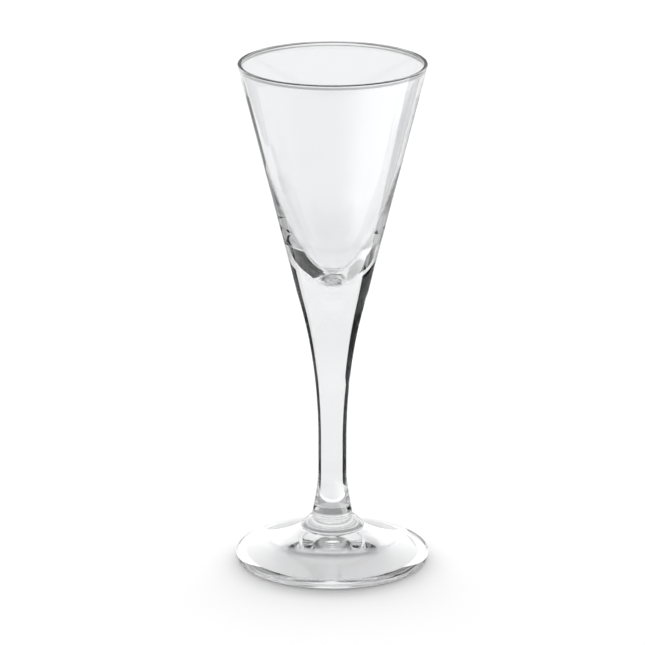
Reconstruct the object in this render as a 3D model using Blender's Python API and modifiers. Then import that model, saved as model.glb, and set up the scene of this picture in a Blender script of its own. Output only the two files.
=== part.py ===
"""Aquavit glass: a bowl, a stem and a foot of clear glass, each turned about +Z and fused to the next.

Metres, +Z up. The origin is on the table, under the middle of the foot.
"""
import math

import bpy
from mathutils import Vector
from mathutils.geometry import interpolate_bezier

# Bowl: a straight cone outside, a bead at the lip, a wall that thickens below the heel and a round floor
HEIGHT = 0.160
RIM_DIAMETER = 0.0583
LIP_BEAD = 0.0012
LIP_ROUND = 0.0003
LIP_RUN = 0.0018
RIM_WALL = 0.0006
HEEL_WALL = 0.0008
HEEL_RISE = 0.039
HEEL_SWEEP = 0.0225
FLOOR_SWEEP = 0.0075
FLOOR_THICKNESS = 0.0067

# Weld between the bowl's rounded bottom and the cup at the top of the stem
SEAM_HEIGHT = 0.0875
SEAM_DIAMETER = 0.0223
SEAM_SAG = 0.0032
WELD_GAP = 0.0003

# Stem: drawn from the weld down to a narrow waist, then out to a skirt with a round lip
WAIST_DIAMETER = 0.0088
WAIST_TOP = 0.039
WAIST_BOTTOM = 0.030
SHOULDER_SWEEP = 0.004
WAIST_SWEEP = 0.028
ANKLE_SWEEP = 0.010
SKIRT_TOP_DIAMETER = 0.0128
SKIRT_HEIGHT = 0.0040
SKIRT_DIAMETER = 0.0198
SKIRT_LIP = 0.0004

# Foot: a raised flat seat, a sloping top, a round edge, a flat ring to stand on and a hollow beneath
FOOT_DIAMETER = 0.0607
FOOT_EDGE = 0.0036
FOOT_TOP_SLOPE = math.radians(14)
FOOT_TOP_SWEEP = 0.008
SEAT_HEIGHT = 0.0105
SEAT_MARGIN = 0.0003
SEAT_SLOPE = math.radians(30)
SEAT_SWEEP = 0.005
STANDING_RING = 0.0021
HOLLOW_DEPTH = 0.0057
HOLLOW_SLOPE = math.radians(16.5)
HOLLOW_SWEEP = 0.013
HOLLOW_CROWN = 0.004

# Fineness of the turned surfaces
TURN_STEPS = 48

GLASS_COLOUR = (0.93, 0.95, 0.95, 1.0)
GLASS_ROUGHNESS = 0.02
GLASS_IOR = 1.52


def point(radius, height):
    """A profile point: radius along +X, height along +Z."""
    return Vector((radius, 0.0, height))


def sweep(start, start_handle, end_handle, end, segments):
    """A smooth curve between two profile points, with both ends."""
    return interpolate_bezier(start, start_handle, end_handle, end, segments + 1)


def straight(start, end, segments):
    """A straight stretch between two profile points, with both ends."""
    return [start.lerp(end, step / segments) for step in range(segments + 1)]


def arc(centre, radius, first_angle, last_angle, segments):
    """A round stretch about a profile point, with both ends. Angles rise from +X towards +Z."""
    angles = [first_angle + (last_angle - first_angle) * step / segments for step in range(segments + 1)]
    return [centre + point(radius * math.cos(angle), radius * math.sin(angle)) for angle in angles]


def seam_cap(lift):
    """The round weld face from its edge to the axis, raised or lowered by lift."""
    edge = SEAM_DIAMETER / 2
    radius = (edge ** 2 + SEAM_SAG ** 2) / (2 * SEAM_SAG)
    centre = point(0.0, SEAM_HEIGHT - SEAM_SAG + radius + lift)
    edge_angle = math.asin(edge / radius)
    return arc(centre, radius, edge_angle - math.pi / 2, -math.pi / 2, 5)


def cone_slope():
    """How much the bowl's outside widens for each metre it rises."""
    return (RIM_DIAMETER - SEAM_DIAMETER) / 2 / (HEIGHT - SEAM_HEIGHT)


def bowl_profile():
    """From the floor of the cavity up the inside, over the lip, down the outside and across the weld."""
    slope = cone_slope()
    lean = math.atan(slope)
    lip_height = HEIGHT - LIP_ROUND

    def outside(height):
        return RIM_DIAMETER / 2 - slope * (HEIGHT - height)

    floor = point(0.0, SEAM_HEIGHT - SEAM_SAG + FLOOR_THICKNESS)
    heel_height = floor.z + HEEL_RISE
    heel = point(outside(heel_height) - HEEL_WALL, heel_height)
    outer_corner = point(outside(lip_height) - LIP_ROUND / math.cos(lean), lip_height)
    inner_corner = outer_corner - point(LIP_BEAD - 2 * LIP_ROUND, 0.0)
    crest = math.pi / 2
    lip = arc(inner_corner, LIP_ROUND, math.pi - lean, crest, 3)
    lip += arc(outer_corner, LIP_ROUND, crest, -lean, 4)
    bead_lean = point(math.sin(lean), math.cos(lean))
    bead_end = lip[-1] - point(math.cos(lean), -math.sin(lean)) * RIM_WALL - bead_lean * LIP_RUN
    wall_lean = (bead_end - heel).normalized()

    inside = sweep(floor, floor + point(FLOOR_SWEEP, 0.0), heel - wall_lean * HEEL_SWEEP, heel, 12)
    inner_wall = straight(heel, bead_end, 3)
    bead = sweep(bead_end, bead_end + bead_lean * LIP_RUN / 2, lip[0] - bead_lean * LIP_RUN / 2, lip[0], 4)
    outer_wall = straight(lip[-1], seam_cap(0.0)[0], 5)
    return inside + inner_wall[1:] + bead[1:] + lip[1:] + outer_wall[1:] + seam_cap(0.0)[1:]


def stem_profile():
    """From the bottom of the cup to its edge, down the drawn sweep to the skirt and across the base."""
    cup = seam_cap(-WELD_GAP)
    shoulder = cup[0]
    shoulder_lean = point(cone_slope(), 1.0).normalized()
    waist_top = point(WAIST_DIAMETER / 2, WAIST_TOP)
    waist_bottom = point(WAIST_DIAMETER / 2, WAIST_BOTTOM)
    base_height = SEAT_HEIGHT + WELD_GAP
    skirt_top = point(SKIRT_TOP_DIAMETER / 2, base_height + SKIRT_HEIGHT)
    lip_centre = point(SKIRT_DIAMETER / 2 - SKIRT_LIP, base_height + SKIRT_LIP)
    lip = arc(lip_centre, SKIRT_LIP, math.radians(45), math.radians(-90), 4)
    ankle_lean = point(waist_bottom.x - skirt_top.x, ANKLE_SWEEP).normalized()

    drawn = sweep(shoulder, shoulder - shoulder_lean * SHOULDER_SWEEP,
                  waist_top + point(0.0, WAIST_SWEEP), waist_top, 12)
    waist = straight(waist_top, waist_bottom, 2)
    ankle = sweep(waist_bottom, waist_bottom - point(0.0, ANKLE_SWEEP / 2),
                  skirt_top + ankle_lean * ANKLE_SWEEP / 2, skirt_top, 6)
    skirt = straight(skirt_top, lip[0], 2)
    return cup[::-1] + drawn[1:] + waist[1:] + ankle[1:] + skirt[1:] + lip[1:] + [point(0.0, base_height)]


def foot_profile():
    """From the middle of the seat down the top, round the edge, over the standing ring and up the hollow."""
    seat_edge = point(SKIRT_DIAMETER / 2 + SEAT_MARGIN, SEAT_HEIGHT)
    edge_radius = FOOT_EDGE / 2
    edge_centre = point(FOOT_DIAMETER / 2 - edge_radius, edge_radius)
    edge = arc(edge_centre, edge_radius, math.pi / 2 - FOOT_TOP_SLOPE, -math.pi / 2, 9)
    seat_lean = point(math.cos(SEAT_SLOPE), -math.sin(SEAT_SLOPE))
    edge_lean = point(math.cos(FOOT_TOP_SLOPE), -math.sin(FOOT_TOP_SLOPE))
    hollow_edge = edge[-1] - point(STANDING_RING, 0.0)
    hollow_lean = point(-math.cos(HOLLOW_SLOPE), math.sin(HOLLOW_SLOPE))
    hollow_middle = point(0.0, HOLLOW_DEPTH)

    top = sweep(seat_edge, seat_edge + seat_lean * SEAT_SWEEP,
                edge[0] - edge_lean * FOOT_TOP_SWEEP, edge[0], 6)
    hollow = sweep(hollow_edge, hollow_edge + hollow_lean * HOLLOW_SWEEP,
                   hollow_middle + point(HOLLOW_CROWN, 0.0), hollow_middle, 8)
    return [point(0.0, SEAT_HEIGHT)] + top + edge[1:] + hollow


def clear_glass():
    """Clear, colourless glass with a polished surface."""
    material = bpy.data.materials.new("clear_glass")
    material.use_nodes = True
    shader = material.node_tree.nodes["Principled BSDF"]
    shader.inputs["Base Color"].default_value = GLASS_COLOUR
    shader.inputs["Metallic"].default_value = 0.0
    shader.inputs["Roughness"].default_value = GLASS_ROUGHNESS
    shader.inputs["IOR"].default_value = GLASS_IOR
    shader.inputs["Transmission Weight"].default_value = 1.0
    return material


def turned(name, profile, material, collection):
    """One solid of revolution about +Z, from a profile that runs down its outer side."""
    mesh = bpy.data.meshes.new(name)
    edges = [(index, index + 1) for index in range(len(profile) - 1)]
    mesh.from_pydata(profile, edges, [])
    mesh.materials.append(material)
    solid = bpy.data.objects.new(name, mesh)
    collection.objects.link(solid)
    screw = solid.modifiers.new("Turned", "SCREW")
    screw.axis = "Z"
    screw.angle = math.tau
    screw.steps = TURN_STEPS
    screw.render_steps = TURN_STEPS
    screw.use_merge_vertices = True
    screw.merge_threshold = 0.00001
    screw.use_smooth_shade = True
    return solid


for leftover in list(bpy.data.objects):
    bpy.data.objects.remove(leftover, do_unlink=True)

glassware = bpy.data.collections.new("aquavit_glass")
bpy.context.scene.collection.children.link(glassware)
glass = clear_glass()
turned("bowl", bowl_profile(), glass, glassware)
turned("stem", stem_profile(), glass.copy(), glassware)
turned("foot", foot_profile(), glass.copy(), glassware)
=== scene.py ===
"""Aquavit glass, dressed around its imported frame: a bowl, a stem and a foot of clear soda-lime glass.

Metres, +Z up, standing on z = 0. The pieces are turned about +Z, so the camera's side is a free choice.
"""
import math

import bpy
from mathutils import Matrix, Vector
from mathutils.geometry import interpolate_bezier


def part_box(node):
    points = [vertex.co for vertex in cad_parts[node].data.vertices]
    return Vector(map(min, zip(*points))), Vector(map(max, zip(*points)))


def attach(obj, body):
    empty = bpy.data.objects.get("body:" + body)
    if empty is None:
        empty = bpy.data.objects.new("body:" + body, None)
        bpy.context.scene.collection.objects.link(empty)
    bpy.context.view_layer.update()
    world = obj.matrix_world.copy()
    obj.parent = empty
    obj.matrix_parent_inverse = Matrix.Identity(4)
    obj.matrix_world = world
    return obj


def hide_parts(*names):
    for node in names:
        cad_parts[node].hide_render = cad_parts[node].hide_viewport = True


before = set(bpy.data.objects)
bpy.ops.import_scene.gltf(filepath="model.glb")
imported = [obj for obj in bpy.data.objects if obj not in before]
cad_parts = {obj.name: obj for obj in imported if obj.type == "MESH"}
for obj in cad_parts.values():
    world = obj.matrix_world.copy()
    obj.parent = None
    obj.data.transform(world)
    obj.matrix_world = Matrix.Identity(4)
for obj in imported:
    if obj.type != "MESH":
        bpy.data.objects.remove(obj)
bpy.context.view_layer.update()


# Soda-lime glass, blown and pressed hot, then fire polished: colourless, and so smooth that it shows only
# by what it bends and mirrors. Faint cool cords run through it, its skin is wavy by a thousandth of a
# millimetre, and the ring that it stands on is scuffed dull.
def linear(hex_colour):
    """A colour written as sRGB hex, as linear RGBA."""
    parts = [int(hex_colour[start:start + 2], 16) / 255 for start in (1, 3, 5)]
    return [c / 12.92 if c <= 0.04045 else ((c + 0.055) / 1.055) ** 2.4 for c in parts] + [1.0]


def add_node(tree, kind, settings=None, links=None):
    """Adds a node, sets its properties and input values, and links its inputs from other nodes' outputs."""
    node = tree.nodes.new(kind)
    for name, value in (settings or {}).items():
        if isinstance(name, str) and hasattr(node, name):
            setattr(node, name, value)
        else:
            node.inputs[name].default_value = value
    for name, source in (links or {}).items():
        tree.links.new(source, node.inputs[name])
    return node


def new_material(name):
    """An empty node material with its output node."""
    material = bpy.data.materials.new(name)
    material.use_nodes = True
    material.node_tree.nodes.clear()
    return material, material.node_tree, material.node_tree.nodes.new("ShaderNodeOutputMaterial")


GLASS_TINT = "#fafbfc"
CORD_TINT = "#f9f9fa"
GLASS_IOR = 1.52
CORD_WIDTH = 0.006
WAVE_WIDTH = 0.008
WAVE_HEIGHT = 0.000001
SCUFF_WIDTH = 0.0006
SCUFF_REACH = 0.0001
SCUFF_ROUGHNESS = 0.25
glass, glass_tree, glass_output = new_material("soda_lime_glass")
glass_place = add_node(glass_tree, "ShaderNodeTexCoord")
cords = add_node(glass_tree, "ShaderNodeTexNoise", {"Scale": 1 / CORD_WIDTH, "Detail": 2.0},
                 {"Vector": glass_place.outputs["Object"]})
cord_tint = add_node(glass_tree, "ShaderNodeMix",
                     {"data_type": "RGBA", 6: linear(GLASS_TINT), 7: linear(CORD_TINT)},
                     {0: cords.outputs["Fac"]})
waves = add_node(glass_tree, "ShaderNodeTexNoise", {"Scale": 1 / WAVE_WIDTH, "Detail": 1.0},
                 {"Vector": glass_place.outputs["Object"]})
wavy = add_node(glass_tree, "ShaderNodeBump", {"Distance": WAVE_HEIGHT}, {"Height": waves.outputs["Fac"]})
glass_way = add_node(glass_tree, "ShaderNodeSeparateXYZ", {}, {"Vector": glass_place.outputs["Object"]})
standing = add_node(glass_tree, "ShaderNodeMapRange",
                    {"From Min": SCUFF_REACH, "From Max": 0.0, "To Max": SCUFF_ROUGHNESS},
                    {"Value": glass_way.outputs["Z"]})
scuffs = add_node(glass_tree, "ShaderNodeTexNoise", {"Scale": 1 / SCUFF_WIDTH, "Detail": 2.0},
                  {"Vector": glass_place.outputs["Object"]})
scuffed = add_node(glass_tree, "ShaderNodeMath", {"operation": "MULTIPLY"},
                   {0: scuffs.outputs["Fac"], 1: standing.outputs["Result"]})
glass_shader = add_node(glass_tree, "ShaderNodeBsdfPrincipled",
                        {"IOR": GLASS_IOR, "Transmission Weight": 1.0},
                        {"Base Color": cord_tint.outputs[2], "Roughness": scuffed.outputs["Value"],
                         "Normal": wavy.outputs["Normal"]})
glass_tree.links.new(glass_shader.outputs["BSDF"], glass_output.inputs["Surface"])

# Where two pieces were pressed together hot, the glass is one body and nothing shows.
weld, weld_tree, weld_output = new_material("fused_glass")
weld_shader = add_node(weld_tree, "ShaderNodeBsdfTransparent", {"Color": (1.0, 1.0, 1.0, 1.0)})
weld_tree.links.new(weld_shader.outputs["BSDF"], weld_output.inputs["Surface"])


# The bowl: a cone-shaped cup blown in a mould, its lip fire polished to a round bead, its wall thin down to
# the heel and heavier below, with a round floor that is wrinkled a little. Its bottom is fused to the stem.
CLOSING_GAP = 0.000002
WELD_LEAST = 0.9


def point(radius, height):
    """A profile point: radius along +X, height along +Z."""
    return Vector((radius, 0.0, height))


def sweep(start, start_handle, end_handle, end, segments):
    """A smooth curve between two profile points, with both ends."""
    return interpolate_bezier(start, start_handle, end_handle, end, segments + 1)


def straight(start, end, segments):
    """A straight stretch between two profile points, with both ends."""
    return [start.lerp(end, step / segments) for step in range(segments + 1)]


def arc(centre, radius, first_angle, last_angle, segments):
    """A round stretch about a profile point, with both ends. Angles rise from +X towards +Z."""
    angles = [first_angle + (last_angle - first_angle) * step / segments for step in range(segments + 1)]
    return [centre + point(radius * math.cos(angle), radius * math.sin(angle)) for angle in angles]


def lathe_tree():
    """Turns a profile of points round +Z and wrinkles the glass round one place, as hot glass sets."""
    tree = bpy.data.node_groups.new("turned_glass", "GeometryNodeTree")
    tree.interface.new_socket("Geometry", in_out="INPUT", socket_type="NodeSocketGeometry")
    for name, kind in (("Sides", "NodeSocketInt"), ("Columns", "NodeSocketInt"),
                       ("Wrinkle depth", "NodeSocketFloat"), ("Wrinkles per metre", "NodeSocketFloat"),
                       ("Wrinkle centre", "NodeSocketVector"), ("Wrinkle reach", "NodeSocketFloat"),
                       ("Glass", "NodeSocketMaterial"), ("Weld", "NodeSocketMaterial")):
        tree.interface.new_socket(name, in_out="INPUT", socket_type=kind)
    tree.interface.new_socket("Geometry", in_out="OUTPUT", socket_type="NodeSocketGeometry")
    given = tree.nodes.new("NodeGroupInput").outputs
    result = tree.nodes.new("NodeGroupOutput")

    # A sheet with a row for each profile point, rolled up round the axis and closed.
    count = add_node(tree, "GeometryNodeAttributeDomainSize", {}, {"Geometry": given["Geometry"]})
    rows = count.outputs["Point Count"]
    sheet = add_node(tree, "GeometryNodeMeshGrid", {}, {"Vertices X": given["Columns"], "Vertices Y": rows})
    index = tree.nodes.new("GeometryNodeInputIndex").outputs["Index"]
    here = tree.nodes.new("GeometryNodeInputPosition").outputs["Position"]
    row = add_node(tree, "FunctionNodeIntegerMath", {"operation": "MODULO"}, {0: index, 1: rows})
    column = add_node(tree, "FunctionNodeIntegerMath", {"operation": "DIVIDE_FLOOR"}, {0: index, 1: rows})
    angle = add_node(tree, "ShaderNodeMapRange", {"To Max": -math.tau},
                     {"Value": column.outputs["Value"], "From Max": given["Sides"]})
    profile = add_node(tree, "GeometryNodeSampleIndex", {"data_type": "FLOAT_VECTOR"},
                       {"Geometry": given["Geometry"], "Value": here, "Index": row.outputs["Value"]})
    turned = add_node(tree, "ShaderNodeVectorRotate", {"rotation_type": "Z_AXIS"},
                      {"Vector": profile.outputs["Value"], "Angle": angle.outputs["Result"]})
    weld_mark = add_node(tree, "GeometryNodeInputNamedAttribute", {"data_type": "FLOAT", "Name": "weld"})
    welded = add_node(tree, "GeometryNodeSampleIndex", {"data_type": "FLOAT"},
                      {"Geometry": given["Geometry"], "Value": weld_mark.outputs["Attribute"],
                       "Index": row.outputs["Value"]})
    marked = add_node(tree, "GeometryNodeStoreNamedAttribute", {"data_type": "FLOAT", "Name": "weld"},
                      {"Geometry": sheet.outputs["Mesh"], "Value": welded.outputs["Value"]})
    rolled = add_node(tree, "GeometryNodeSetPosition", {},
                      {"Geometry": marked.outputs["Geometry"], "Position": turned.outputs["Vector"]})
    closed = add_node(tree, "GeometryNodeMergeByDistance", {"Distance": CLOSING_GAP},
                      {"Geometry": rolled.outputs["Geometry"]})

    # Fine wrinkles that fade out away from their centre and leave the fused faces alone.
    wrinkles = add_node(tree, "ShaderNodeTexNoise", {"normalize": False, "Detail": 2.0, "Distortion": 1.2},
                        {"Vector": here, "Scale": given["Wrinkles per metre"]})
    away = add_node(tree, "ShaderNodeVectorMath", {"operation": "DISTANCE"},
                    {0: here, 1: given["Wrinkle centre"]})
    fade = add_node(tree, "ShaderNodeMapRange", {"interpolation_type": "SMOOTHSTEP", "To Max": 0.0},
                    {"Value": away.outputs["Value"], "From Max": given["Wrinkle reach"],
                     "To Min": given["Wrinkle depth"]})
    wrinkle_rise = add_node(tree, "ShaderNodeMath", {"operation": "MULTIPLY"},
                            {0: wrinkles.outputs["Fac"], 1: fade.outputs["Result"]})
    off_weld = add_node(tree, "ShaderNodeMath", {"operation": "SUBTRACT", 0: 1.0},
                        {1: weld_mark.outputs["Attribute"]})
    free_rise = add_node(tree, "ShaderNodeMath", {"operation": "MULTIPLY"},
                         {0: wrinkle_rise.outputs["Value"], 1: off_weld.outputs["Value"]})
    normal = tree.nodes.new("GeometryNodeInputNormal").outputs["Normal"]
    offset = add_node(tree, "ShaderNodeVectorMath", {"operation": "SCALE"},
                      {0: normal, "Scale": free_rise.outputs["Value"]})
    wrinkled = add_node(tree, "GeometryNodeSetPosition", {},
                        {"Geometry": closed.outputs["Geometry"], "Offset": offset.outputs["Vector"]})

    # Clear glass everywhere but on the faces that are fused to the next piece.
    weld_face = add_node(tree, "FunctionNodeCompare", {"operation": "GREATER_THAN", "B": WELD_LEAST},
                         {"A": weld_mark.outputs["Attribute"]})
    smooth = add_node(tree, "GeometryNodeSetShadeSmooth", {}, {"Geometry": wrinkled.outputs["Geometry"]})
    real = add_node(tree, "GeometryNodeRealizeInstances", {}, {"Geometry": smooth.outputs["Geometry"]})
    clear = add_node(tree, "GeometryNodeSetMaterial", {},
                     {"Geometry": real.outputs["Geometry"], "Material": given["Glass"]})
    fused = add_node(tree, "GeometryNodeSetMaterial", {},
                     {"Geometry": clear.outputs["Geometry"], "Selection": weld_face.outputs["Result"],
                      "Material": given["Weld"]})
    tree.links.new(fused.outputs["Geometry"], result.inputs["Geometry"])
    return tree


lathe = lathe_tree()


def turned_piece(name, profile, weld_points, values):
    """Turns a profile into a finished glass piece, on the body that carries it."""
    line = bpy.data.meshes.new(name + "_profile")
    line.from_pydata(profile, [(index, index + 1) for index in range(len(profile) - 1)], [])
    marks = line.attributes.new("weld", "FLOAT", "POINT")
    marks.data.foreach_set("value", [1.0 if index in weld_points else 0.0 for index in range(len(profile))])
    blank = bpy.data.objects.new(name + "_profile", line)
    bpy.context.scene.collection.objects.link(blank)
    modifier = blank.modifiers.new("Lathe", "NODES")
    modifier.node_group = lathe
    for item in lathe.interface.items_tree:
        if item.in_out == "INPUT" and item.name in values:
            modifier[item.identifier] = values[item.name]
    graph = bpy.context.evaluated_depsgraph_get()
    mesh = bpy.data.meshes.new_from_object(blank.evaluated_get(graph), depsgraph=graph)
    mesh.name = name
    mesh.materials.pop(index=0)
    bpy.data.objects.remove(blank)
    piece = bpy.data.objects.new(name, mesh)
    bpy.context.scene.collection.objects.link(piece)
    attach(piece, "root")
    return piece


bowl_low, bowl_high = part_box("bowl")
stem_low, stem_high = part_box("stem")
LIP_BEAD = 0.0012
LIP_ROUND = 0.0003
LIP_RUN = 0.0018
RIM_WALL = 0.0006
HEEL_WALL = 0.0008
HEEL_RISE = 0.039
HEEL_SWEEP = 0.0225
FLOOR_SWEEP = 0.0075
FLOOR_THICKNESS = 0.0067
WELD_GAP = 0.0003
CREASE = 0.00002
TURN_SIDES = 256
WRINKLE_WIDTH = 0.0016
WRINKLE_DEPTH = 0.00008
WRINKLE_REACH = 0.0105

seam_radius = stem_high.x
seam_height = stem_high.z + WELD_GAP
seam_sag = seam_height - bowl_low.z
lip_height = bowl_high.z - LIP_ROUND
lean = math.atan((bowl_high.x - seam_radius) / (lip_height - seam_height))
seam_ball = (seam_radius ** 2 + seam_sag ** 2) / (2 * seam_sag)
seam_cap = arc(point(0.0, bowl_low.z + seam_ball), seam_ball,
               math.asin(seam_radius / seam_ball) - math.pi / 2, -math.pi / 2, segments=12)
seam_cap.insert(1, seam_cap[0] + (seam_cap[1] - seam_cap[0]).normalized() * CREASE)

floor_middle = point(0.0, bowl_low.z + FLOOR_THICKNESS)
heel_height = floor_middle.z + HEEL_RISE
heel_outside = seam_radius + (heel_height - seam_height) * math.tan(lean)
heel = point(heel_outside - HEEL_WALL, heel_height)
lip_inside = arc(point(bowl_high.x - LIP_BEAD + LIP_ROUND, lip_height), LIP_ROUND,
                 math.pi - lean, math.pi / 2, segments=14)
lip_outside = arc(point(bowl_high.x - LIP_ROUND, lip_height), LIP_ROUND, math.pi / 2, -lean, segments=14)
lip = lip_inside + lip_outside
bead_lean = point(math.sin(lean), math.cos(lean))
bead_end = lip[-1] - point(math.cos(lean), -math.sin(lean)) * RIM_WALL - bead_lean * LIP_RUN
wall_lean = (bead_end - heel).normalized()
wall_end = seam_cap[0] + (lip[-1] - seam_cap[0]).normalized() * CREASE

cavity = sweep(floor_middle, floor_middle + point(FLOOR_SWEEP, 0.0),
               heel - wall_lean * HEEL_SWEEP, heel, segments=96)
inner_wall = straight(heel, bead_end, segments=16)
bead = sweep(bead_end, bead_end + bead_lean * LIP_RUN / 2,
             lip[0] - bead_lean * LIP_RUN / 2, lip[0], segments=16)
outer_wall = straight(lip[-1], wall_end, segments=28)
bowl_profile = cavity + inner_wall[1:] + bead[1:] + lip[1:] + outer_wall[1:] + seam_cap
bowl_weld = range(len(bowl_profile) - len(seam_cap), len(bowl_profile))
piece_values = {"Sides": TURN_SIDES, "Columns": TURN_SIDES + 1, "Wrinkle depth": WRINKLE_DEPTH,
                "Wrinkles per metre": 1 / WRINKLE_WIDTH, "Wrinkle centre": floor_middle,
                "Wrinkle reach": WRINKLE_REACH, "Glass": glass, "Weld": weld}
bowl = turned_piece("bowl_glass", bowl_profile, bowl_weld, piece_values)
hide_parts("bowl")


# The stem: drawn solid from the hot glass under the bowl, thin at the waist, and spread at the bottom
# into a skirt with a rolled lip that was pressed down on the foot.
WAIST_RADIUS = 0.0044
WAIST_TOP = 0.039
WAIST_BOTTOM = 0.030
SHOULDER_SWEEP = 0.004
WAIST_SWEEP = 0.028
ANKLE_SWEEP = 0.010
SKIRT_TOP_RADIUS = 0.0064
SKIRT_HEIGHT = 0.0040
SKIRT_RADIUS = 0.0099
SKIRT_LIP = 0.0004

base_height = stem_low.z
shoulder = seam_cap[0]
waist_top = point(WAIST_RADIUS, WAIST_TOP)
waist_bottom = point(WAIST_RADIUS, WAIST_BOTTOM)
skirt_top = point(SKIRT_TOP_RADIUS, base_height + SKIRT_HEIGHT)
skirt_lip = arc(point(SKIRT_RADIUS - SKIRT_LIP, base_height + SKIRT_LIP), SKIRT_LIP,
                math.radians(45), math.radians(-90), segments=12)
shoulder_lean = point(math.sin(lean), math.cos(lean))
ankle_lean = (waist_bottom - point(0.0, WAIST_BOTTOM - skirt_top.z - ANKLE_SWEEP) - skirt_top).normalized()

drawn = sweep(shoulder, shoulder - shoulder_lean * SHOULDER_SWEEP,
              waist_top + point(0.0, WAIST_SWEEP), waist_top, segments=56)
waist = straight(waist_top, waist_bottom, segments=6)
ankle = sweep(waist_bottom, waist_bottom - point(0.0, ANKLE_SWEEP / 2),
              skirt_top + ankle_lean * ANKLE_SWEEP / 2, skirt_top, segments=24)
skirt = straight(skirt_top, skirt_lip[0], segments=6)
stem_base = straight(skirt_lip[-1], point(0.0, base_height), segments=5)
stem_profile = (seam_cap[::-1] + [shoulder - shoulder_lean * CREASE] + drawn[1:] + waist[1:]
                + ankle[1:] + skirt[1:] + skirt_lip[1:] + stem_base[1:])
stem_weld = [*range(len(seam_cap)), *range(len(stem_profile) - len(stem_base), len(stem_profile))]
stem = turned_piece("stem_glass", stem_profile, stem_weld, piece_values)
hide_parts("stem")


# The foot: a disc pressed in a mould, with a raised seat for the skirt, a top that slopes to a fire polished
# edge, a flat ring that it stands on and a hollow underside that keeps the middle off the table.
foot_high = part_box("foot")[1]
FOOT_EDGE = 0.0036
FOOT_TOP_SLOPE = math.radians(14)
FOOT_TOP_SWEEP = 0.008
SEAT_MARGIN = 0.0003
SEAT_SLOPE = math.radians(30)
SEAT_SWEEP = 0.005
STANDING_RING = 0.0021
HOLLOW_DEPTH = 0.0057
HOLLOW_SLOPE = math.radians(16.5)
HOLLOW_SWEEP = 0.013
HOLLOW_CROWN = 0.004

weld_rim = skirt_lip[-1]
seat_edge = point(SKIRT_RADIUS + SEAT_MARGIN, base_height)
edge_radius = FOOT_EDGE / 2
edge = arc(point(foot_high.x - edge_radius, edge_radius), edge_radius,
           math.pi / 2 - FOOT_TOP_SLOPE, -math.pi / 2, segments=32)
seat_lean = point(math.cos(SEAT_SLOPE), -math.sin(SEAT_SLOPE))
edge_lean = point(math.cos(FOOT_TOP_SLOPE), -math.sin(FOOT_TOP_SLOPE))
hollow_edge = edge[-1] - point(STANDING_RING, 0.0)
hollow_lean = point(-math.cos(HOLLOW_SLOPE), math.sin(HOLLOW_SLOPE))
hollow_middle = point(0.0, HOLLOW_DEPTH)

seat = straight(point(0.0, base_height), weld_rim, segments=5)
top = sweep(seat_edge, seat_edge + seat_lean * SEAT_SWEEP,
            edge[0] - edge_lean * FOOT_TOP_SWEEP, edge[0], segments=40)
hollow = sweep(hollow_edge, hollow_edge + hollow_lean * HOLLOW_SWEEP,
               hollow_middle + point(HOLLOW_CROWN, 0.0), hollow_middle, segments=40)
foot_profile = seat + top + edge[1:] + hollow
foot = turned_piece("foot_glass", foot_profile, range(len(seat)), piece_values)
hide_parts("foot")


# The studio: a white paper floor, which is white to the eye and in the glass but keeps the glass's shadow.
# Through the glass it glows more far behind and under the foot, a painted pool of light with painted shade
# behind the stem, and it is painted darker after many turns inside the glass. Each span says where a change
# starts and where it is complete.
FLOOR_SIZE = 8.0
FLOOR_WHITE = "#e6e6e6"
FLOOR_SEEN = "#ffffff"
FLOOR_GLOW = 0.108
GLOW_IN_GLASS = 0.158
FAR_GLOW_IN_GLASS = 0.198
FAR_SPAN = (0.20, 0.34)
SLANT_SPAN = (0.86, 0.78)
# Painted light under the foot, for light that comes through it, with painted shade round a spot behind the
# stem.
UNDER_GLOW = 0.42
STEM_SHADE_CENTRE = (0.0, 0.016, 0.0)
UNDER_SPAN = (0.004, 0.020)
UNDER_EDGE = (0.030, 0.0285)
LONG_RUN = (6.0, 13.0)
LONG_RUN_LOSS = 0.40
ENDLESS_RUN = (18.0, 24.0)
ENDLESS_LOSS = 0.75
CAMERA_SIDE = math.radians(225)
paper, paper_tree, paper_output = new_material("white_paper_floor")
paper_path = add_node(paper_tree, "ShaderNodeLightPath")
paper_white = add_node(paper_tree, "ShaderNodeMix",
                       {"data_type": "RGBA", 6: linear(FLOOR_WHITE), 7: linear(FLOOR_SEEN)},
                       {0: paper_path.outputs["Is Camera Ray"]})
paper_diffuse = add_node(paper_tree, "ShaderNodeBsdfDiffuse", {}, {"Color": paper_white.outputs[2]})
paper_seen = add_node(paper_tree, "ShaderNodeMath", {"operation": "MULTIPLY", 1: FLOOR_GLOW},
                      {0: paper_path.outputs["Is Camera Ray"]})
paper_place = add_node(paper_tree, "ShaderNodeTexCoord")
paper_turn = add_node(paper_tree, "ShaderNodeMapping", {"Rotation": (0.0, 0.0, -CAMERA_SIDE)},
                      {"Vector": paper_place.outputs["Object"]})
paper_way = add_node(paper_tree, "ShaderNodeSeparateXYZ", {}, {"Vector": paper_turn.outputs["Vector"]})
far_rise = add_node(paper_tree, "ShaderNodeMapRange",
                    {"interpolation_type": "SMOOTHSTEP", "From Min": FAR_SPAN[0], "From Max": FAR_SPAN[1],
                     "To Max": FAR_GLOW_IN_GLASS - GLOW_IN_GLASS}, {"Value": paper_way.outputs["Y"]})
paper_slant = add_node(paper_tree, "ShaderNodeLayerWeight", {"Blend": 0.5})
far_fall = add_node(paper_tree, "ShaderNodeMapRange",
                    {"interpolation_type": "SMOOTHSTEP", "From Min": SLANT_SPAN[0],
                     "From Max": SLANT_SPAN[1]}, {"Value": paper_slant.outputs["Facing"]})
paper_far = add_node(paper_tree, "ShaderNodeMath", {"operation": "MULTIPLY_ADD", 2: GLOW_IN_GLASS},
                     {0: far_rise.outputs["Result"], 1: far_fall.outputs["Result"]})
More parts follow.
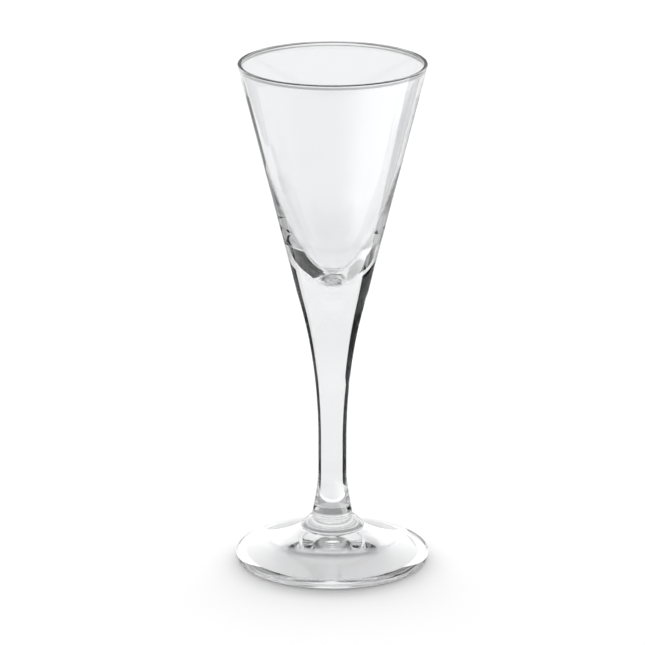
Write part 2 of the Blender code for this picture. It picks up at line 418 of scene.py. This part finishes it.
paper_off = add_node(paper_tree, "ShaderNodeVectorMath", {"operation": "DISTANCE", 1: STEM_SHADE_CENTRE},
                     {0: paper_turn.outputs["Vector"]})
under_rise = add_node(paper_tree, "ShaderNodeMapRange",
                      {"interpolation_type": "SMOOTHSTEP", "From Min": UNDER_SPAN[0],
                       "From Max": UNDER_SPAN[1], "To Max": UNDER_GLOW},
                      {"Value": paper_off.outputs["Value"]})
paper_reach = add_node(paper_tree, "ShaderNodeVectorMath", {"operation": "LENGTH"},
                       {0: paper_turn.outputs["Vector"]})
under_fall = add_node(paper_tree, "ShaderNodeMapRange",
                      {"From Min": UNDER_EDGE[0], "From Max": UNDER_EDGE[1]},
                      {"Value": paper_reach.outputs["Value"]})
under = add_node(paper_tree, "ShaderNodeMath", {"operation": "MULTIPLY_ADD"},
                 {0: under_rise.outputs["Result"], 1: under_fall.outputs["Result"],
                  2: paper_far.outputs["Value"]})
paper_through = add_node(paper_tree, "ShaderNodeMath", {"operation": "MULTIPLY_ADD"},
                         {0: paper_path.outputs["Is Transmission Ray"], 1: under.outputs["Value"],
                          2: paper_seen.outputs["Value"]})

# A fan of light lies on the floor at the camera's right, and a weaker one at the left. They show only where
# the glass mirrors them. The fan's bounds are shares of a whole turn.
MIRRORED_GLOW = 0.17
FAN_GLOW = 2.6
FAN_RISE = (0.25, 0.42)
FAN_FALL = (0.559, 0.551)
FAN_START = (0.125, 0.160)
LEFT_GLOW = 0.25
LEFT_SPAN = (-0.12, -0.20)
paper_side = add_node(paper_tree, "ShaderNodeTexGradient", {"gradient_type": "RADIAL"},
                      {"Vector": paper_turn.outputs["Vector"]})
fan_rise = add_node(paper_tree, "ShaderNodeMapRange",
                    {"interpolation_type": "SMOOTHSTEP", "From Min": FAN_RISE[0], "From Max": FAN_RISE[1],
                     "To Max": FAN_GLOW}, {"Value": paper_side.outputs["Fac"]})
fan_fall = add_node(paper_tree, "ShaderNodeMapRange",
                    {"interpolation_type": "SMOOTHSTEP", "From Min": FAN_FALL[0], "From Max": FAN_FALL[1]},
                    {"Value": paper_side.outputs["Fac"]})
right_fan = add_node(paper_tree, "ShaderNodeMath", {"operation": "MULTIPLY"},
                     {0: fan_rise.outputs["Result"], 1: fan_fall.outputs["Result"]})
left_fan = add_node(paper_tree, "ShaderNodeMapRange",
                    {"interpolation_type": "SMOOTHSTEP", "From Min": LEFT_SPAN[0], "From Max": LEFT_SPAN[1],
                     "To Max": LEFT_GLOW}, {"Value": paper_way.outputs["X"]})
fans = add_node(paper_tree, "ShaderNodeMath", {"operation": "ADD"},
                {0: right_fan.outputs["Value"], 1: left_fan.outputs["Result"]})
fan_start = add_node(paper_tree, "ShaderNodeMapRange",
                     {"interpolation_type": "SMOOTHSTEP", "From Min": FAN_START[0], "From Max": FAN_START[1]},
                     {"Value": paper_reach.outputs["Value"]})
fan_light = add_node(paper_tree, "ShaderNodeMath", {"operation": "MULTIPLY_ADD", 2: MIRRORED_GLOW},
                     {0: fans.outputs["Value"], 1: fan_start.outputs["Result"]})
paper_mirrored = add_node(paper_tree, "ShaderNodeMath", {"operation": "SUBTRACT"},
                          {0: paper_path.outputs["Is Glossy Ray"],
                           1: paper_path.outputs["Is Transmission Ray"]})
paper_glow_level = add_node(paper_tree, "ShaderNodeMath", {"operation": "MULTIPLY_ADD"},
                            {0: paper_mirrored.outputs["Value"], 1: fan_light.outputs["Value"],
                             2: paper_through.outputs["Value"]})
paper_glow = add_node(paper_tree, "ShaderNodeEmission", {}, {"Strength": paper_glow_level.outputs["Value"]})
paper_sum = add_node(paper_tree, "ShaderNodeAddShader", {},
                     {0: paper_diffuse.outputs["BSDF"], 1: paper_glow.outputs["Emission"]})
# Painted shade: seen after many turns inside the glass, the floor is darker, the more so the longer the run.
paper_long_run_shade = add_node(paper_tree, "ShaderNodeMapRange",
                      {"interpolation_type": "SMOOTHSTEP", "From Min": LONG_RUN[0], "From Max": LONG_RUN[1],
                       "To Max": LONG_RUN_LOSS}, {"Value": paper_path.outputs["Ray Depth"]})
paper_endless_run_shade = add_node(paper_tree, "ShaderNodeMapRange",
                       {"interpolation_type": "SMOOTHSTEP", "From Min": ENDLESS_RUN[0],
                        "From Max": ENDLESS_RUN[1], "To Max": ENDLESS_LOSS},
                       {"Value": paper_path.outputs["Ray Depth"]})
paper_run_shade = add_node(paper_tree, "ShaderNodeMath", {"operation": "MAXIMUM"},
                      {0: paper_long_run_shade.outputs["Result"], 1: paper_endless_run_shade.outputs["Result"]})
paper_mix = add_node(paper_tree, "ShaderNodeMixShader", {},
                     {0: paper_run_shade.outputs["Value"], 1: paper_sum.outputs["Shader"]})
paper_tree.links.new(paper_mix.outputs["Shader"], paper_output.inputs["Surface"])


def stage_sheet(name, corners, material):
    """A flat sheet of the studio, which isn't part of the glass."""
    mesh = bpy.data.meshes.new(name)
    mesh.from_pydata(corners, [], [range(len(corners))])
    mesh.materials.append(material)
    sheet = bpy.data.objects.new(name, mesh)
    bpy.context.scene.collection.objects.link(sheet)
    return sheet


half_floor = FLOOR_SIZE / 2
stage_sheet("paper_floor", [(-half_floor, -half_floor, 0.0), (half_floor, -half_floor, 0.0),
                            (half_floor, half_floor, 0.0), (-half_floor, half_floor, 0.0)], paper)

towards_camera = Vector((math.sin(CAMERA_SIDE), -math.cos(CAMERA_SIDE), 0.0))
camera_right = Vector((math.cos(CAMERA_SIDE), math.sin(CAMERA_SIDE), 0.0))
up = Vector((0.0, 0.0, 1.0))

# Cloth cards stand or lie round the glass, as a photographer sets them to draw dark lines in it. Corners are
# given by how far they are aside, behind the glass and up. A card that is called a flag shows only through
# the glass, one that is called a sheen only mirrored in it, and the others both ways.
BLACK = "#060606"
DARK_GREY = "#7c7c7c"
MID_GREY = "#c8c8c8"
PALE_GREY = "#e8e8e8"
CARD_LIFT = 0.001
CARDS = {
    # The dark lines down the stem and the dark patches in the bowl's bottom, where the glass swaps the sides
    "flag_right": (BLACK, ((0.095, -0.005, 0.000), (0.095, 0.098, 0.000), (0.095, 0.095, 0.030),
                           (0.095, 0.096, 0.060), (0.095, 0.098, 0.126), (0.095, 0.070, 0.130),
                           (0.095, 0.036, 0.108), (0.095, -0.005, 0.108))),
    "flag_left": (BLACK, ((-0.215, -0.080, 0.040), (-0.215, 0.098, 0.040), (-0.215, 0.108, 0.008),
                          (-0.215, 0.190, 0.000), (-0.215, 0.315, 0.000), (-0.215, 0.315, 0.118),
                          (-0.215, 0.250, 0.126), (-0.215, 0.130, 0.136), (-0.215, -0.080, 0.136))),
    "flag_stem_left": (BLACK, ((-0.0105, 0.0045, 0.013), (-0.0085, 0.0065, 0.014), (-0.0043, 0.0108, 0.018),
                               (-0.0043, 0.0108, 0.054), (-0.0105, 0.0045, 0.054))),
    "flag_heel_left": (BLACK, ((-0.100, -0.014, 0.048), (-0.100, 0.044, 0.048), (-0.100, 0.044, 0.068),
                               (-0.100, -0.014, 0.068))),
    "low_right": (BLACK, ((0.0305, 0.006, 0.000), (0.021, 0.0245, 0.000), (0.075, 0.080, 0.045),
                          (0.075, -0.006, 0.045))),
    # The line down the bowl's left edge
    "flag_edge_left": (BLACK, ((-0.0265, 0.030, 0.1120), (-0.0400, 0.030, 0.1130), (-0.0430, 0.030, 0.128),
                               (-0.0460, 0.030, 0.1435), (-0.0310, 0.030, 0.137), (-0.0300, 0.030, 0.122))),
    # The darker edges of the stem and of the bowl's bottom, which mirror their own side
    "sheen_low_left": (BLACK, ((-0.0305, 0.006, 0.000), (-0.021, 0.0245, 0.000), (-0.075, 0.080, 0.014),
                               (-0.150, 0.180, 0.028), (-0.150, 0.062, 0.028))),
    "sheen_right": (BLACK, ((0.030, 0.016, 0.000), (0.030, 0.110, 0.000), (0.130, 0.300, 0.000),
                            (0.153, 0.100, 0.000), (0.153, 0.020, 0.000), (0.130, -0.005, 0.000))),
    "sheen_left": (BLACK, ((-0.030, 0.016, 0.000), (-0.030, 0.110, 0.000), (-0.130, 0.300, 0.000),
                           (-0.153, 0.100, 0.000), (-0.153, 0.040, 0.000), (-0.130, 0.030, 0.000))),
    # Grey on the floor, which shows round the dark patches in the bowl's bottom
    "flag_table_near": (MID_GREY, ((-0.060, -0.012, 0.000), (-0.060, 0.056, 0.000), (-0.115, 0.098, 0.000),
                                   (-0.150, 0.090, 0.000), (-0.215, 0.066, 0.000), (-0.215, -0.020, 0.000),
                                   (-0.190, -0.050, 0.000), (-0.075, -0.020, 0.000))),
    "flag_table_front": (MID_GREY, ((-0.060, -0.033, 0.000), (0.060, -0.033, 0.000), (0.085, -0.085, 0.000),
                                    (-0.085, -0.085, 0.000))),
    # Pale grey behind the lip, which darkens it all round
    "rim_card": (PALE_GREY, ((-0.055, 0.060, 0.1605), (0.055, 0.060, 0.1605), (0.055, 0.060, 0.190),
                             (-0.055, 0.060, 0.190))),
}

# The grey strips down both sides of the bowl mirror a pair of cards that lie a little under the others.
STRIP_CARD = ((0.100, 0.140), (0.196, 0.140), (0.198, 0.240), (0.226, 0.318), (0.180, 0.415), (0.100, 0.530))
STRIP_DROP = 0.0005
for side, way in (("right", 1.0), ("left", -1.0)):
    CARDS["sheen_edge_" + side] = (MID_GREY, [(way * aside, behind, -STRIP_DROP)
                                              for aside, behind in STRIP_CARD])

# Two flat rings close under the lip, one outside it and one inside, draw its fine double line.
LIP_RINGS = ((DARK_GREY, 0.0330, 0.0297), (BLACK, 0.0278, 0.0252))
LIP_RING_DROP = 0.0025
RING_STEPS = 72
ring_height = bowl_high.z - LIP_RING_DROP
turn = [math.tau * step / RING_STEPS for step in range(RING_STEPS + 1)]
for number, (shade, wide, narrow) in enumerate(LIP_RINGS):
    ring = [(wide, angle) for angle in turn] + [(narrow, angle) for angle in turn[::-1]]
    CARDS["flag_lip_%d" % number] = (shade, [(reach * math.cos(angle), reach * math.sin(angle), ring_height)
                                             for reach, angle in ring])

cloths = {}
for shade in (BLACK, DARK_GREY, MID_GREY, PALE_GREY):
    cloths[shade], cloth_tree, cloth_output = new_material("card_cloth_" + shade[1:])
    cloth_shader = add_node(cloth_tree, "ShaderNodeBsdfDiffuse", {"Color": linear(shade)})
    cloth_tree.links.new(cloth_shader.outputs["BSDF"], cloth_output.inputs["Surface"])
for name, (shade, corners) in CARDS.items():
    card = stage_sheet(name, [camera_right * aside - towards_camera * behind + up * (height + CARD_LIFT)
                              for aside, behind, height in corners], cloths[shade])
    card.visible_camera = False
    card.visible_diffuse = False
    card.visible_shadow = False
    card.visible_glossy = not name.startswith("flag")
    card.visible_transmission = not name.startswith("sheen")


# The light: an even white room, with a backdrop that is bright low down behind the glass and draws the
# shadow forward. Through the glass the room is white low down and darker above. Mirrored, the backdrop is
# brighter than white, and so is a soft light overhead. Spans are dot products with straight back or up.
ROOM = 0.47
HORIZON = 10.6
HORIZON_SPAN = (0.70, 0.0)
BACK_SPAN = (0.0, 1.0)
SHADE = 0.95
BACK_IN_GLASS = 0.92
FRONT_IN_GLASS = 0.35
BACK_IN_GLASS_SPAN = (0.25, 0.55)
LOW_IN_GLASS_SPAN = (0.50, 0.25)
BACK_MIRRORED = 2.20
FRONT_MIRRORED = 0.70
MIRRORED_SPAN = (0.60, 0.88)
KEY_LIGHT = 1.20
KEY_SPAN = (0.82, 0.89)
world = bpy.data.worlds.new("white_room")
bpy.context.scene.world = world
world.use_nodes = True
world_tree = world.node_tree
world_tree.nodes.clear()
world_path = add_node(world_tree, "ShaderNodeLightPath")
world_way = add_node(world_tree, "ShaderNodeTexCoord")
behind = add_node(world_tree, "ShaderNodeVectorMath", {"operation": "DOT_PRODUCT", 1: -towards_camera},
                  {0: world_way.outputs["Generated"]})
rise = add_node(world_tree, "ShaderNodeSeparateXYZ", {}, {"Vector": world_way.outputs["Generated"]})
key = add_node(world_tree, "ShaderNodeMapRange",
               {"interpolation_type": "SMOOTHSTEP", "From Min": KEY_SPAN[0], "From Max": KEY_SPAN[1],
                "To Max": KEY_LIGHT}, {"Value": rise.outputs["Z"]})

# What a ray finds that goes straight from the glass into the room, or is mirrored into it
back_in_glass = add_node(world_tree, "ShaderNodeMapRange",
                         {"interpolation_type": "SMOOTHSTEP", "From Min": BACK_IN_GLASS_SPAN[0],
                          "From Max": BACK_IN_GLASS_SPAN[1], "To Min": FRONT_IN_GLASS,
                          "To Max": BACK_IN_GLASS}, {"Value": behind.outputs["Value"]})
low_in_glass = add_node(world_tree, "ShaderNodeMapRange",
                        {"interpolation_type": "SMOOTHSTEP", "From Min": LOW_IN_GLASS_SPAN[0],
                         "From Max": LOW_IN_GLASS_SPAN[1], "To Min": FRONT_IN_GLASS,
                         "To Max": BACK_IN_GLASS}, {"Value": rise.outputs["Z"]})
white_in_glass = add_node(world_tree, "ShaderNodeMath", {"operation": "MAXIMUM"},
                          {0: back_in_glass.outputs["Result"], 1: low_in_glass.outputs["Result"]})
in_glass = add_node(world_tree, "ShaderNodeMath", {"operation": "MAXIMUM"},
                    {0: white_in_glass.outputs["Value"], 1: key.outputs["Result"]})
backdrop = add_node(world_tree, "ShaderNodeMapRange",
                    {"interpolation_type": "SMOOTHSTEP", "From Min": MIRRORED_SPAN[0],
                     "From Max": MIRRORED_SPAN[1], "To Min": FRONT_MIRRORED, "To Max": BACK_MIRRORED},
                    {"Value": behind.outputs["Value"]})
mirrored = add_node(world_tree, "ShaderNodeMath", {"operation": "MAXIMUM"},
                    {0: backdrop.outputs["Result"], 1: key.outputs["Result"]})
first_glass = add_node(world_tree, "ShaderNodeMath", {"operation": "SUBTRACT", "use_clamp": True},
                       {0: world_path.outputs["Is Transmission Ray"], 1: world_path.outputs["Diffuse Depth"]})
first_mirror = add_node(world_tree, "ShaderNodeMath", {"operation": "SUBTRACT", "use_clamp": True},
                        {0: world_path.outputs["Is Glossy Ray"], 1: world_path.outputs["Diffuse Depth"]})

# What lights the floor: little of it comes through the glass, which casts the shadow
low = add_node(world_tree, "ShaderNodeMapRange",
               {"interpolation_type": "SMOOTHSTEP", "From Min": HORIZON_SPAN[0], "From Max": HORIZON_SPAN[1],
                "To Max": HORIZON}, {"Value": rise.outputs["Z"]})
round_back = add_node(world_tree, "ShaderNodeMapRange",
                      {"interpolation_type": "SMOOTHSTEP", "From Min": BACK_SPAN[0],
                       "From Max": BACK_SPAN[1]}, {"Value": behind.outputs["Value"]})
room_way = add_node(world_tree, "ShaderNodeMath", {"operation": "MULTIPLY_ADD", 2: ROOM},
                    {0: low.outputs["Result"], 1: round_back.outputs["Result"]})
veil = add_node(world_tree, "ShaderNodeMapRange", {"To Min": 1.0, "To Max": 1.0 - SHADE},
                {"Value": world_path.outputs["Is Transmission Ray"]})
room = add_node(world_tree, "ShaderNodeMath", {"operation": "MULTIPLY"},
                {0: room_way.outputs["Value"], 1: veil.outputs["Result"]})
lit = add_node(world_tree, "ShaderNodeMix", {"data_type": "FLOAT"},
               {0: first_mirror.outputs["Value"], 2: room.outputs["Value"], 3: mirrored.outputs["Value"]})
through = add_node(world_tree, "ShaderNodeMix", {"data_type": "FLOAT"},
                   {0: first_glass.outputs["Value"], 2: lit.outputs[0], 3: in_glass.outputs["Value"]})

# Light that has run round in the glass for long comes out weaker
kept = add_node(world_tree, "ShaderNodeMapRange",
                {"interpolation_type": "SMOOTHSTEP", "From Min": LONG_RUN[0], "From Max": LONG_RUN[1],
                 "To Min": 1.0, "To Max": 1.0 - LONG_RUN_LOSS}, {"Value": world_path.outputs["Ray Depth"]})
spent = add_node(world_tree, "ShaderNodeMapRange",
                 {"interpolation_type": "SMOOTHSTEP", "From Min": ENDLESS_RUN[0], "From Max": ENDLESS_RUN[1],
                  "To Min": 1.0, "To Max": 1.0 - ENDLESS_LOSS}, {"Value": world_path.outputs["Ray Depth"]})
least_kept = add_node(world_tree, "ShaderNodeMath", {"operation": "MINIMUM"},
                      {0: kept.outputs["Result"], 1: spent.outputs["Result"]})
through_kept = add_node(world_tree, "ShaderNodeMath", {"operation": "MULTIPLY"},
                        {0: through.outputs[0], 1: least_kept.outputs["Value"]})
seen = add_node(world_tree, "ShaderNodeMath", {"operation": "MAXIMUM"},
                {0: through_kept.outputs["Value"], 1: world_path.outputs["Is Camera Ray"]})
world_light = add_node(world_tree, "ShaderNodeBackground", {"Color": (1.0, 1.0, 1.0, 1.0)},
                       {"Strength": seen.outputs["Value"]})
add_node(world_tree, "ShaderNodeOutputWorld", {}, {"Surface": world_light.outputs["Background"]})

# Light runs round many times inside thick glass before it comes out again.
GLASS_BOUNCES = 40
bpy.context.scene.cycles.max_bounces = GLASS_BOUNCES
bpy.context.scene.cycles.transmission_bounces = GLASS_BOUNCES
bpy.context.scene.cycles.glossy_bounces = GLASS_BOUNCES


# The camera: a long lens a little over a metre away, looking down on the foot and into the bowl's mouth.
# Its place and its lens were fitted to the ellipses of the rim and the foot.
CAMERA_DISTANCE = 1.3386
CAMERA_HEIGHT = 0.4840
CAMERA_PITCH = math.radians(16.90)
CAMERA_REACH = 50.0
SENSOR_WIDTH = 36.0
FOCAL_PIXELS = 4508.0
IMAGE_SIZE = 645.0
AXIS_PIXEL = 332.95

lens = bpy.data.cameras.new("camera")
lens.sensor_width = SENSOR_WIDTH
lens.lens = SENSOR_WIDTH * FOCAL_PIXELS / IMAGE_SIZE
lens.clip_end = CAMERA_REACH
camera = bpy.data.objects.new("camera", lens)
bpy.context.scene.collection.objects.link(camera)
camera.location = towards_camera * CAMERA_DISTANCE + up * CAMERA_HEIGHT
off_axis = (AXIS_PIXEL - IMAGE_SIZE / 2) / FOCAL_PIXELS
level_gaze = -towards_camera - camera_right * off_axis
gaze = level_gaze * math.cos(CAMERA_PITCH) - up * math.sin(CAMERA_PITCH)
camera.rotation_euler = gaze.to_track_quat("-Z", "Y").to_euler()
bpy.context.scene.camera = camera
bpy.context.scene.view_settings.view_transform = "Standard"
